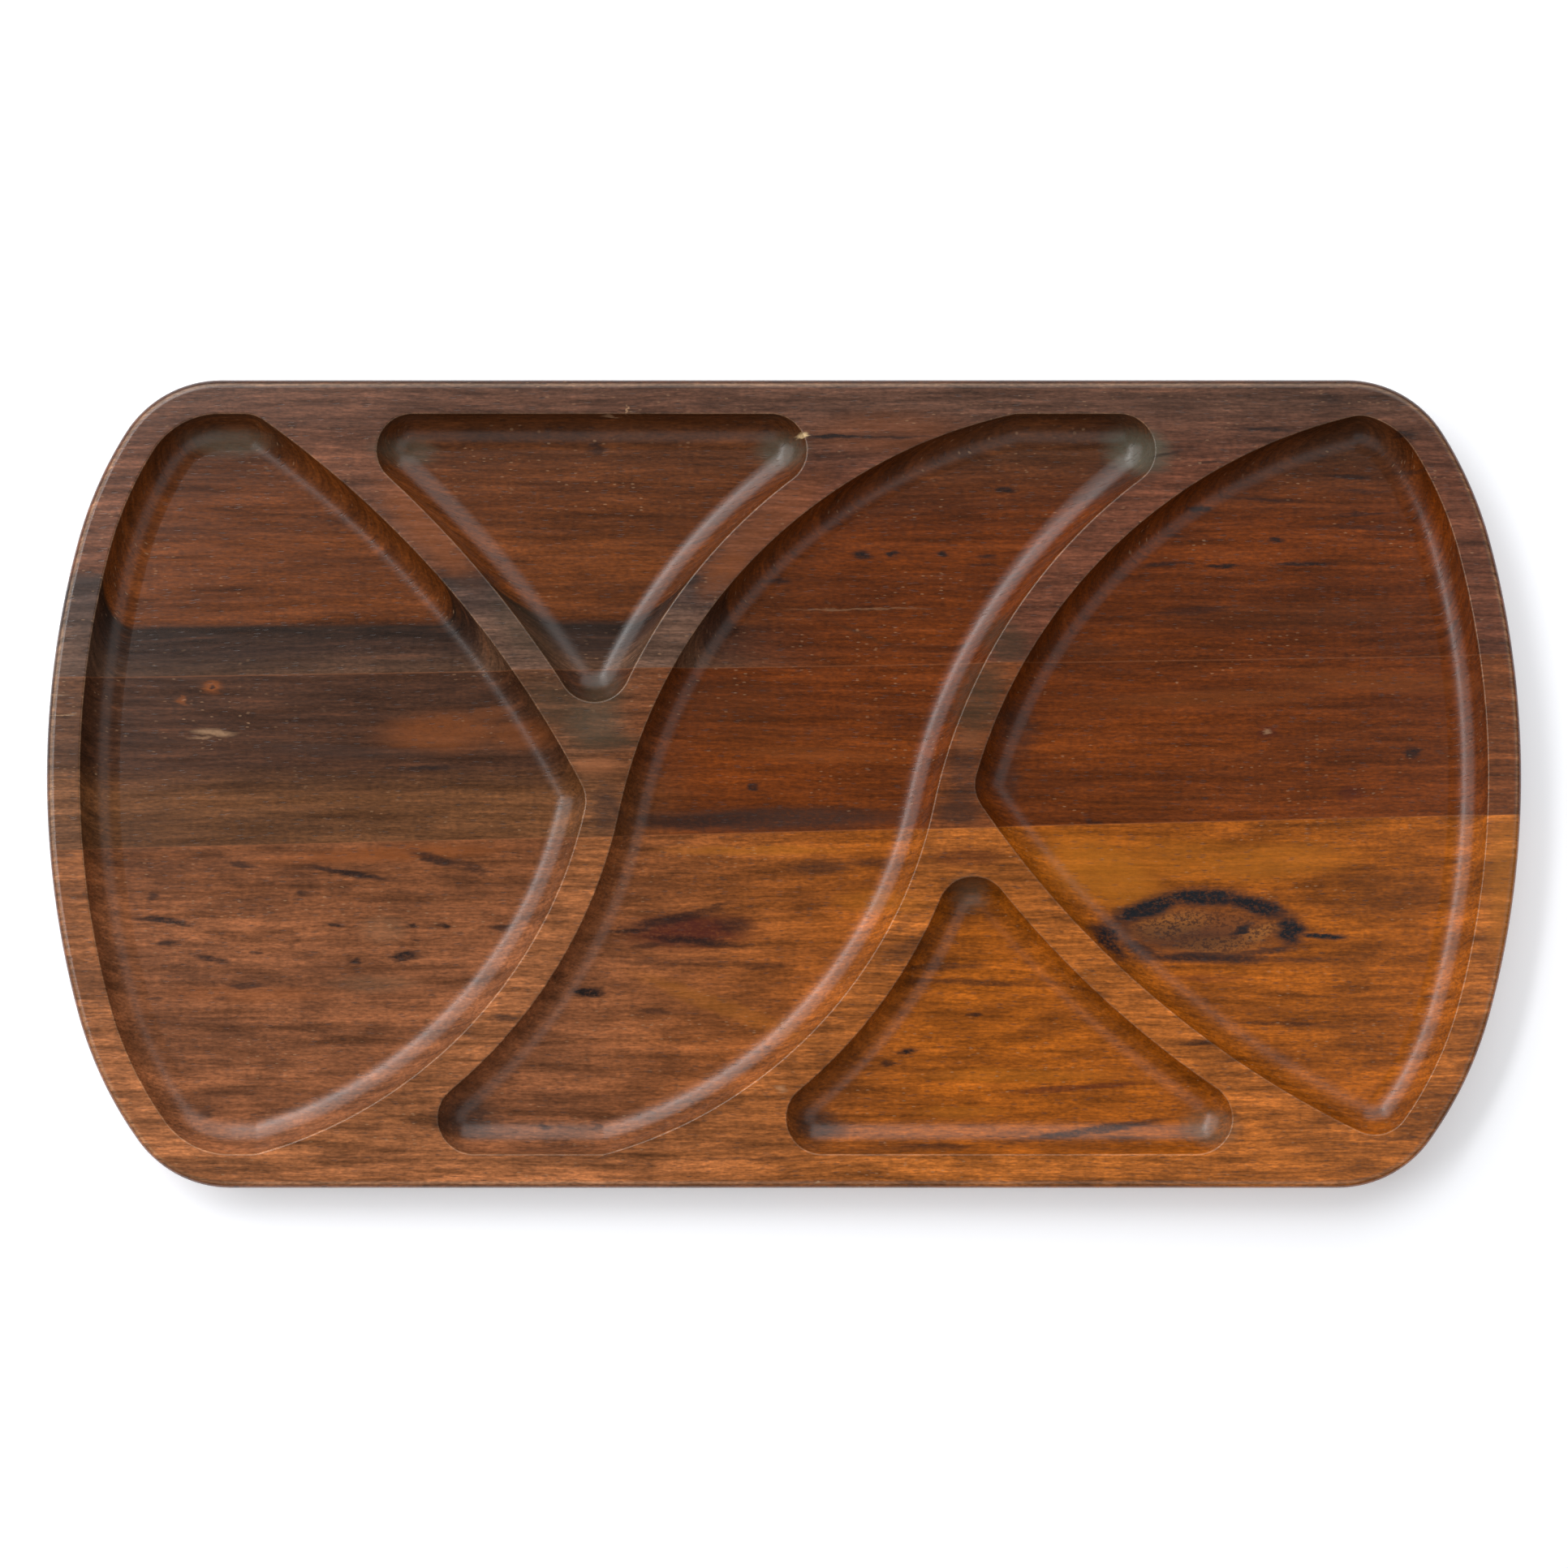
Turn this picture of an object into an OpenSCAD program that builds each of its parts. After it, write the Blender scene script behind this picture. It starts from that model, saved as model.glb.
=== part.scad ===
// Divided serving bowl: a flat wooden board with five scooped pockets.
// The board is glued up from three staves, and one ball-nosed cutter has scooped the pockets.
// Frame: X along the length, Y towards the back, Z up, origin under the middle of the board.

/* [Board] */
// Overall length, end to end
board_l = 500; // [440:1:600]
// Overall width, front to back
board_w = 274; // [250:1:310]
// Thickness of the blank
board_t = 20; // [15:0.5:40]
// Radius of the long arc that closes each end
end_r = 308; // [260:1:360]
// Half of the angle that the end arc spans
end_half_angle = 15; // [10:0.5:18]
// Radius of the shoulder arcs beside an end arc
shoulder_r = 135; // [115:1:155]
// Radius of the four corners
corner_r = 38.5; // [32:0.5:50]
// How far the widest point of the ends lies behind the middle
end_rise = 2.3; // [0:0.1:6]
// Round-over along the top edge
top_round = 3; // [1:0.25:4]
// Round-over along the bottom edge
bottom_round = 2.5; // [1:0.25:4]

/* [Pockets] */
// Flat rim between the board's outline and the pockets
rim_w = 11.7; // [6:0.1:16]
// Width of the ridges that divide the pockets
divider_w = 11.6; // [5:0.1:16]
// Depth of the pockets
pocket_depth = 10; // [5:0.5:13]
// Radius of the cutter's rounded side
cutter_r = 12.5; // [8:0.1:15]
// Half width of the cutter's flat tip
cutter_tip = 1; // [0.9:0.1:4]

/* [Arched dividers] */
// Radius of the left arched divider's middle line
left_arch_r = 352; // [335:0.5:370]
// Centre of the left arch, along the length
left_arch_x = -375.8; // [-390:0.1:-360]
// Centre of the left arch, towards the back
left_arch_y = -159.6; // [-175:0.1:-140]
// Radius of the right arched divider's middle line
right_arch_r = 333.6; // [315:0.1:350]
// Centre of the right arch, along the length
right_arch_x = 337.7; // [320:0.1:355]
// Centre of the right arch, towards the back
right_arch_y = 177.4; // [160:0.1:195]

/* [S-shaped dividers] */
// Radius of the back bend of an S
s_back_r = 180; // [165:1:195]
// Radius of the front bend of an S
s_front_r = 162; // [148:1:176]
// Slant of both S-shaped dividers where the bends meet
s_slant = 11.9; // [4:0.1:20]
// Place along the length where the left S changes its bend
s_left_x = -61.5; // [-75:0.1:-50]
// Place along the length where the right S changes its bend
s_right_x = 56.4; // [45:0.1:70]
// Place from front to back where both change their bend
s_y = -8; // [-20:0.1:4]

/* [Staves] */
// Back glue line, at the middle of the board
back_seam_y = 40; // [25:0.5:60]
// Slope of the back glue line in degrees
back_seam_tilt = 0.92; // [0:0.01:3]
// Front glue line, at the middle of the board
front_seam_y = -16.4; // [-50:0.1:5]
// Slope of the front glue line in degrees
front_seam_tilt = 1.41; // [0:0.01:3]

/* [Colours] */
// Back stave
back_colour = "#6a3a22";
// Middle stave
middle_colour = "#4b3024";
// Front stave
front_colour = "#8a4f28";

/* [Hidden] */
$fa = 1;
$fs = 1;

// Overlap between neighbouring cuts along the floor, and of the core under them
lap = 0.8;
core_lap = 0.4;
// How far a cut stands above the board, and runs past its ends before it is trimmed
headroom = 1;
overrun = 2;
// Width of the outer band that carries the rounded edges
band_w = 12;
// Points along each edge of a core
core_steps = 10;
// Size of the blocks that trim a cut: along its cross-section, and along its way
trim_reach = 40;
trim_depth = 6;
// How far the core's points stay from the corners of a loop
corner_gap = 1;
// Directions that differ by less than this count as one
same_way = 0.001;
// Steps to one millimetre in the first move of a piece that is placed in two moves
coarse_steps = 100;

floor_z = board_t - pocket_depth;
cut_top = board_t + headroom;
cutter_z = floor_z + sqrt(cutter_r * cutter_r - cutter_tip * cutter_tip);
// Half of the cutter's width where it leaves the board's top
cut_half = cutter_z < board_t ? cutter_r : sqrt(cutter_r * cutter_r - pow(cutter_z - board_t, 2));
// From a divider's middle line, and from the outline, to the cutter's path
divider_off = divider_w / 2 + cut_half;
rim_off = rim_w + cut_half;

half_l = board_l / 2;
half_w = board_w / 2;

// Plane geometry
function unit(v) = v / norm(v);
function turn(v) = [-v[1], v[0]];
function toward(a) = [cos(a), sin(a)];
// Where two circles cross: side 1 is left of the line between their centres, -1 right of it
function circles_meet(c1, r1, c2, r2, side) =
    let (d = norm(c2 - c1), e = (c2 - c1) / d,
         a = (d * d + r1 * r1 - r2 * r2) / (2 * d), h = sqrt(r1 * r1 - a * a))
    c1 + e * a + turn(e) * h * side;

// Edges of a loop run anticlockwise: [start, end, centre, radius, bend].
// Bend 1 is an arc that bulges out of the loop, -1 one that bulges in, 0 a straight edge.
function edge(p, q, c, r, bend) = [p, q, c, r, bend];
function line(p, q) = edge(p, q, [0, 0], 0, 0);
function way(e, p) = e[4] == 0 ? unit(e[1] - e[0]) : turn(unit(p - e[2])) * e[4];
function outward(t) = [t[1], -t[0]];
function sweep(e) =
    let (a = atan2(e[0][1] - e[2][1], e[0][0] - e[2][0]),
         b = atan2(e[1][1] - e[2][1], e[1][0] - e[2][0]))
    e[4] > 0 ? [a, (b - a + 720) % 360] : [b, (a - b + 720) % 360];

// Where the circle round c crosses an edge
function on_arc(e, p) =
    let (s = sweep(e), a = atan2(p[1] - e[2][1], p[0] - e[2][0])) (a - s[0] + 720) % 360 <= s[1];
function line_crossings(e, c, r) =
    let (t = way(e, e[0]), m = e[0] + t * ((c - e[0]) * t), h = r * r - pow(norm(c - m), 2))
    h < 0 ? [] : [
        for (side = [-1, 1])
            let (p = m + t * sqrt(h) * side)
            if ((p - e[0]) * t >= 0 && (e[1] - p) * t >= 0) p
    ];
function arc_crossings(e, c, r) =
    let (d = norm(c - e[2]))
    d > e[3] + r || d < abs(e[3] - r) ? [] : [
        for (side = [-1, 1])
            let (p = circles_meet(e[2], e[3], c, r, side))
            if (on_arc(e, p)) p
    ];
function crossings(e, c, r) = e[4] == 0 ? line_crossings(e, c, r) : arc_crossings(e, c, r);

// The board's outline, drawn in by inset: anticlockwise from the right-hand end arc
function end_centre(sx) = [sx * (half_l - end_r), end_rise];
function shoulder_centre(sx, sy) =
    end_centre(sx) + (end_r - shoulder_r) * [sx * cos(end_half_angle), sy * sin(end_half_angle)];
function corner_centre(sx, sy) =
    let (m = shoulder_centre(sx, sy), y = sy * (half_w - corner_r),
         x = sqrt(pow(shoulder_r - corner_r, 2) - pow(y - m[1], 2)))
    [m[0] + sx * x, y];
function end_tip(sx, sy, inset) =
    end_centre(sx) + (end_r - inset) * [sx * cos(end_half_angle), sy * sin(end_half_angle)];
function shoulder_tip(sx, sy, inset) =
    let (m = shoulder_centre(sx, sy), k = corner_centre(sx, sy))
    k + (corner_r - inset) * unit(k - m);
function line_tip(sx, sy, inset) = [corner_centre(sx, sy)[0], sy * (half_w - inset)];
function end_edge(sx, inset) =
    edge(end_tip(sx, -sx, inset), end_tip(sx, sx, inset), end_centre(sx), end_r - inset, 1);
function shoulder_edge(sx, sy, inset) =
    let (a = end_tip(sx, sy, inset), b = shoulder_tip(sx, sy, inset), first = sx * sy > 0)
    edge(first ? a : b, first ? b : a, shoulder_centre(sx, sy), shoulder_r - inset, 1);
function corner_edge(sx, sy, inset) =
    let (a = shoulder_tip(sx, sy, inset), b = line_tip(sx, sy, inset), first = sx * sy > 0)
    edge(first ? a : b, first ? b : a, corner_centre(sx, sy), corner_r - inset, 1);
function outline_loop(inset) = [
    end_edge(1, inset), shoulder_edge(1, 1, inset), corner_edge(1, 1, inset),
    line(line_tip(1, 1, inset), line_tip(-1, 1, inset)),
    corner_edge(-1, 1, inset), shoulder_edge(-1, 1, inset), end_edge(-1, inset),
    shoulder_edge(-1, -1, inset), corner_edge(-1, -1, inset),
    line(line_tip(-1, -1, inset), line_tip(1, -1, inset)),
    corner_edge(1, -1, inset), shoulder_edge(1, -1, inset)
];
outline = outline_loop(0);

// Centres of the divider arcs. The S bends meet where their centres' joining line crosses the ridge.
s_dir = [-cos(s_slant), sin(s_slant)];
function s_back(x) = [x, s_y] - s_dir * s_back_r;
function s_front(x) = [x, s_y] + s_dir * s_front_r;
left_arch = [left_arch_x, left_arch_y];
right_arch = [right_arch_x, right_arch_y];

left_back = s_back(s_left_x);
left_front = s_front(s_left_x);
right_back = s_back(s_right_x);
right_front = s_front(s_right_x);

// The line that the cutter follows along the board's rim
rim = outline_loop(rim_off);
// Where a circle crosses that line: [point, index of the edge], on the back (sy 1) or front (sy -1)
// half of the board, and of those the crossing farthest right (sx 1) or left (sx -1)
function rim_hit(c, r, sy, sx) =
    let (hits = [
             for (i = [0 : len(rim) - 1])
                 for (p = crossings(rim[i], c, r))
                     if (p[1] * sy > 0) [p, i]
         ],
         farthest = max([for (hit = hits) hit[0][0] * sx]))
    [for (hit = hits) if (hit[0][0] * sx == farthest) hit][0];
// The edges along the rim from one such crossing to another
function rim_run(a, b) =
    let (n = len(rim), steps = (b[1] - a[1] + n) % n) [
        for (j = [0 : steps])
            let (e = rim[(a[1] + j) % n])
            edge(j == 0 ? a[0] : e[0], j == steps ? b[0] : e[1], e[2], e[3], e[4])
    ];

// Left pocket: inside the left arch and the left S. Its tip meets the front bend of the S,
// or the back bend where the arch lets the tip reach past the place at which the bends change.
l_bend = [s_left_x, s_y] + s_dir * divider_off;
l_over = norm(l_bend - left_arch) < left_arch_r - divider_off;
l_tip = l_over
    ? circles_meet(left_arch, left_arch_r - divider_off, left_back, s_back_r + divider_off, 1)
    : circles_meet(left_arch, left_arch_r - divider_off, left_front, s_front_r - divider_off, -1);
l_back = rim_hit(left_arch, left_arch_r - divider_off, 1, 1);
l_front = rim_hit(left_front, s_front_r - divider_off, -1, 1);
left_path = concat(
    [edge(l_tip, l_back[0], left_arch, left_arch_r - divider_off, 1)],
    rim_run(l_back, l_front),
    [edge(l_front[0], l_over ? l_bend : l_tip, left_front, s_front_r - divider_off, 1)],
    l_over ? [edge(l_bend, l_tip, left_back, s_back_r + divider_off, -1)] : []
);

// Back pocket: between the left arch and the back bend of the left S
b_tip = circles_meet(left_arch, left_arch_r + divider_off, left_back, s_back_r + divider_off, 1);
b_left = rim_hit(left_arch, left_arch_r + divider_off, 1, 1);
b_right = rim_hit(left_back, s_back_r + divider_off, 1, -1);
back_path = concat(
    [edge(b_tip, b_right[0], left_back, s_back_r + divider_off, -1)],
    rim_run(b_right, b_left),
    [edge(b_left[0], b_tip, left_arch, left_arch_r + divider_off, -1)]
);

// Middle pocket: between the two S-shaped dividers
m_back_left = rim_hit(left_back, s_back_r - divider_off, 1, -1);
m_back_right = rim_hit(right_back, s_back_r + divider_off, 1, -1);
m_front_left = rim_hit(left_front, s_front_r + divider_off, -1, 1);
m_front_right = rim_hit(right_front, s_front_r - divider_off, -1, 1);
m_left_bend = [s_left_x, s_y] - s_dir * divider_off;
m_right_bend = [s_right_x, s_y] + s_dir * divider_off;
middle_path = concat(
    rim_run(m_back_right, m_back_left),
    [edge(m_back_left[0], m_left_bend, left_back, s_back_r - divider_off, 1)],
    [edge(m_left_bend, m_front_left[0], left_front, s_front_r + divider_off, -1)],
    rim_run(m_front_left, m_front_right),
    [edge(m_front_right[0], m_right_bend, right_front, s_front_r - divider_off, 1)],
    [edge(m_right_bend, m_back_right[0], right_back, s_back_r + divider_off, -1)]
);

// Right pocket: inside the right S and the right arch. Its tip meets the back bend of the S,
// or the front bend where the arch lets the tip reach past the place at which the bends change.
r_bend = [s_right_x, s_y] - s_dir * divider_off;
r_over = norm(r_bend - right_arch) < right_arch_r - divider_off;
r_tip = r_over
    ? circles_meet(right_arch, right_arch_r - divider_off, right_front, s_front_r + divider_off, 1)
    : circles_meet(right_arch, right_arch_r - divider_off, right_back, s_back_r - divider_off, -1);
r_back = rim_hit(right_back, s_back_r - divider_off, 1, -1);
r_front = rim_hit(right_arch, right_arch_r - divider_off, -1, -1);
right_path = concat(
    [edge(r_tip, r_front[0], right_arch, right_arch_r - divider_off, 1)],
    rim_run(r_front, r_back),
    [edge(r_back[0], r_over ? r_bend : r_tip, right_back, s_back_r - divider_off, 1)],
    r_over ? [edge(r_bend, r_tip, right_front, s_front_r + divider_off, -1)] : []
);

// Front pocket: between the front bend of the right S and the right arch
f_tip = circles_meet(right_arch, right_arch_r + divider_off, right_front, s_front_r + divider_off, 1);
f_left = rim_hit(right_front, s_front_r + divider_off, -1, 1);
f_right = rim_hit(right_arch, right_arch_r + divider_off, -1, -1);
front_path = concat(
    [edge(f_tip, f_left[0], right_front, s_front_r + divider_off, -1)],
    rim_run(f_left, f_right),
    [edge(f_right[0], f_tip, right_arch, right_arch_r + divider_off, -1)]
);

// Moves in two steps, a round one and a fine one, so that no digits of the place are lost
module at(p) {
    whole = [round(p[0] * coarse_steps), round(p[1] * coarse_steps)] / coarse_steps;
    translate(whole) translate(p - whole) children();
}

// Carries a cross-section along an edge: its x points out of the loop and its y points up
module along(e) {
    if (e[4] == 0) {
        t = way(e, e[0]);
        at(e[0] - t * overrun) rotate(atan2(t[1], t[0])) rotate([90, 0, 90])
            linear_extrude(norm(e[1] - e[0]) + 2 * overrun) mirror([1, 0]) children();
    } else {
        s = sweep(e);
        past = overrun / e[3] * 180 / PI;
        at(e[2]) rotate_extrude(start = s[0] - past, angle = s[1] + 2 * past)
            at([e[3], 0]) mirror([e[4] < 0 ? 1 : 0, 0]) children();
    }
}

// A block on the side d of the plane through p that holds the outward direction
module trim(p, t, d, depth) {
    u = outward(t) * trim_reach;
    at(p) translate([0, 0, -headroom]) linear_extrude(cut_top + 2 * headroom)
        polygon([-u, u, u + t * d * depth, -u + t * d * depth]);
}

// An edge's cross-section, cut off square at both ends of the edge
module run(e) {
    difference() {
        along(e) children();
        trim(e[0], way(e, e[0]), -1, trim_depth);
        trim(e[1], way(e, e[1]), 1, trim_depth);
    }
}

// True where a loop turns a corner from one edge to the next
function turns(a, b) = norm(way(a, a[1]) - way(b, b[0])) > same_way;

// The cutter turned on the spot at the corner between two edges
module pivot(a, b) {
    difference() {
        at(a[1]) rotate_extrude() children();
        trim(a[1], way(a, a[1]), -1, trim_reach);
        trim(b[0], way(b, b[0]), 1, trim_reach);
    }
}

// Points along a loop, drawn in by inset and kept clear of its corners
function core_points(path, inset, gap) = [
    for (e = path)
        let (length = e[4] == 0 ? norm(e[1] - e[0]) : sweep(e)[1] * PI / 180 * e[3],
             clear = min(gap, length / 4))
        for (i = [0 : core_steps])
            let (d = clear + (length - 2 * clear) * i / core_steps, s = sweep(e),
                 a = e[4] > 0 ? s[0] + d / e[3] * 180 / PI : s[0] + s[1] - d / e[3] * 180 / PI,
                 t = way(e, e[0]))
            e[4] == 0 ? e[0] + t * d - outward(t) * inset
                      : e[2] + toward(a) * (e[3] - inset * e[4])
];

// Half of the cutter's outline, from its middle line outwards: straight above its rounded side
module cutter_half() {
    intersection() {
        union() {
            translate([0, cutter_z]) circle(cutter_r);
            if (cutter_z < cut_top) translate([0, cutter_z]) square([cutter_r, cut_top - cutter_z]);
        }
        translate([0, floor_z]) square([cutter_r, cut_top - floor_z]);
    }
}

// The same with a lap of level floor behind it
module cutter_side() {
    cutter_half();
    translate([-lap, floor_z]) square([lap + core_lap, cut_top - floor_z]);
}

// Everything that the cutter takes out of one pocket
module pocket(path) {
    n = len(path);
    for (i = [0 : n - 1]) {
        run(path[i]) cutter_side();
        if (turns(path[i], path[(i + 1) % n])) pivot(path[i], path[(i + 1) % n]) cutter_half();
    }
    translate([0, 0, floor_z]) linear_extrude(cut_top - floor_z)
        polygon(core_points(path, core_lap, corner_gap));
}

// Cross-section of the outer band, with the top and bottom edges rounded over
module band_side() {
    difference() {
        translate([-band_w, 0]) square([band_w, board_t]);
        translate([-top_round, board_t - top_round]) difference() {
            square(top_round + headroom);
            circle(top_round);
        }
        translate([-bottom_round, bottom_round]) mirror([0, 1]) difference() {
            square(bottom_round + headroom);
            circle(bottom_round);
        }
    }
}

// The board before any pocket is cut
module blank() {
    for (e = outline) run(e) band_side();
    linear_extrude(board_t) polygon(core_points(outline, band_w / 2, 0));
}

// One stave: what lies inside the given zone, less what the pockets take out of it
module stave(zone) {
    difference() {
        intersection() {
            blank();
            linear_extrude(board_t) polygon(zone);
        }
        for (path = [left_path, back_path, middle_path, right_path, front_path]) pocket(path);
    }
}

// A glue line from left to right, drawn past both ends of the board
function seam(y, tilt) = [for (x = [-board_l, board_l]) [x, y + x * tan(tilt)]];
back_seam = seam(back_seam_y, back_seam_tilt);
front_seam = seam(front_seam_y, front_seam_tilt);

module stave_back() {
    color(back_colour) stave([back_seam[0], back_seam[1], [board_l, board_w], [-board_l, board_w]]);
}

module stave_middle() {
    color(middle_colour) stave([front_seam[0], front_seam[1], back_seam[1], back_seam[0]]);
}

module stave_front() {
    color(front_colour) stave([[-board_l, -board_w], [board_l, -board_w], front_seam[1], front_seam[0]]);
}

stave_back();
stave_middle();
stave_front();
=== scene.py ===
"""Divided serving tray of oiled acacia: three glued staves, scooped into five pockets."""
from math import asin, atan2, ceil, cos, hypot, pi, radians, sin, sqrt, tan

import bmesh
import bpy
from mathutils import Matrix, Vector


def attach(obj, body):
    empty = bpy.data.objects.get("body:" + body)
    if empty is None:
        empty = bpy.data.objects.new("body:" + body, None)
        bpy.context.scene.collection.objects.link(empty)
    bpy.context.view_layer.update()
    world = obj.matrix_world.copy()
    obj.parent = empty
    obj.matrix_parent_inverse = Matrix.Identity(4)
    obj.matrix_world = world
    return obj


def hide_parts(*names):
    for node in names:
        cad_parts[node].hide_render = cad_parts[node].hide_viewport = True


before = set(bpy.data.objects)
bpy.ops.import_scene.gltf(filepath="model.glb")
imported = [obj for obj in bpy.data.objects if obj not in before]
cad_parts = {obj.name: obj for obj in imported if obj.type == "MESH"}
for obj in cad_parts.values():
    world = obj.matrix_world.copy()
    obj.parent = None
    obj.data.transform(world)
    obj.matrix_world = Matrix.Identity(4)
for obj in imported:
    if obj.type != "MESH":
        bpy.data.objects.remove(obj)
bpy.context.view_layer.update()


# The routed board
# The real tray is one flat board, 20 mm thick, scooped with a ball-nosed cutter that a template
# guides along arcs, then rounded over at its outer edge and lightly sanded along every rim.
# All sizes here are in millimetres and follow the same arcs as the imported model.
MM = 0.001
THICKNESS = 20
BOARD_L, BOARD_W = 500, 274
END_R, END_HALF_ANGLE, END_RISE = 308, 15, 2.3
SHOULDER_R, CORNER_R = 135, 38.5
TOP_ROUND, BOTTOM_ROUND = 3, 2.5
RIM_W, DIVIDER_W = 11.7, 11.6
POCKET_DEPTH = 10
CUTTER_R, CUTTER_TIP = 12.5, 1
# The sanded edge of a pocket, and the level strip that keeps the flat faces flat beside it
RIM_EASE = 0.6
LEVEL_STRIP = 0.15
LEFT_ARCH, LEFT_ARCH_R = (-375.8, -159.6), 352
RIGHT_ARCH, RIGHT_ARCH_R = (337.7, 177.4), 333.6
S_BACK_R, S_FRONT_R, S_SLANT, S_Y = 180, 162, 11.9, -8
S_LEFT_X, S_RIGHT_X = -61.5, 56.4
# Spacing of the points along the lines that the cutter follows, and round their tight corners
POINT_SPACING = 2.5
ARC_STEP = radians(4)
# Steps in each rounded part of the cross-sections
COVE_STEPS, EASE_STEPS, TOP_STEPS, BOTTOM_STEPS = 18, 6, 7, 6
# Points nearer than this become one, and a cut passes this close to a point (both in metres)
WELD, CUT_SLACK = 2e-6, 1e-7

cutter_rise = sqrt(CUTTER_R ** 2 - CUTTER_TIP ** 2) - POCKET_DEPTH
cut_half = sqrt(CUTTER_R ** 2 - cutter_rise ** 2)
divider_off = DIVIDER_W / 2 + cut_half
rim_off = RIM_W + cut_half
# From the cutter's path out to where the sanded rim meets the level top
rim_reach = sqrt((CUTTER_R + RIM_EASE) ** 2 - (cutter_rise + RIM_EASE) ** 2) + LEVEL_STRIP


def circles_meet(c1, r1, c2, r2, side):
    """Where two circles cross: side 1 is left of the line between their centres, -1 right of it."""
    dx, dy = c2[0] - c1[0], c2[1] - c1[1]
    d = hypot(dx, dy)
    a = (d * d + r1 * r1 - r2 * r2) / (2 * d)
    h = side * sqrt(r1 * r1 - a * a)
    return c1[0] + (dx * a - dy * h) / d, c1[1] + (dy * a + dx * h) / d


def circle_at_y(c, r, y, side):
    """Where a circle crosses the line at y: side 1 is the right-hand crossing, -1 the left one."""
    return c[0] + side * sqrt(r * r - (y - c[1]) ** 2), y


def outline_loop(inset):
    """The outline drawn in by inset, anticlockwise. An edge is (start, end, centre, bend): bend 1
    turns left, -1 turns right, and 0 is straight and has no centre."""
    def point(c, r, a, sx, sy):
        return c[0] + sx * r * cos(a), c[1] + sy * r * sin(a)

    def quarter(sx, sy):
        end = (sx * (BOARD_L / 2 - END_R), END_RISE)
        a = radians(END_HALF_ANGLE)
        shoulder = point(end, END_R - SHOULDER_R, a, sx, sy)
        corner_y = sy * (BOARD_W / 2 - CORNER_R)
        across = sqrt((SHOULDER_R - CORNER_R) ** 2 - (corner_y - shoulder[1]) ** 2)
        corner = (shoulder[0] + sx * across, corner_y)
        b = atan2(sy * (corner_y - shoulder[1]), across)
        tips = [point(end, END_R - inset, a, sx, sy), point(corner, CORNER_R - inset, b, sx, sy),
                (corner[0], sy * (BOARD_W / 2 - inset))]
        return end, shoulder, corner, tips

    loop = []
    for sx, sy in ((1, 1), (-1, 1), (-1, -1), (1, -1)):
        end, shoulder, corner, tips = quarter(sx, sy)
        run = [(tips[0], tips[1], shoulder, 1), (tips[1], tips[2], corner, 1)]
        if sx * sy < 0:
            run = [(q, p, c, bend) for p, q, c, bend in reversed(run)]
            after = quarter(sx, -sy)
            run.append((tips[0], after[3][0], end, 1))
        else:
            after = quarter(-sx, sy)
            run.append((tips[2], after[3][2], None, 0))
        loop += run
    return loop


def s_centres(x):
    """Centres of the two bends of an S-shaped divider that changes its bend at x."""
    ux, uy = -cos(radians(S_SLANT)), sin(radians(S_SLANT))
    return (x - ux * S_BACK_R, S_Y - uy * S_BACK_R), (x + ux * S_FRONT_R, S_Y + uy * S_FRONT_R)


def s_bend(x, side):
    """Where the cutter beside an S changes its bend: side 1 is left of the S, -1 right of it."""
    a = radians(S_SLANT)
    return x - side * divider_off * cos(a), S_Y + side * divider_off * sin(a)


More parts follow.
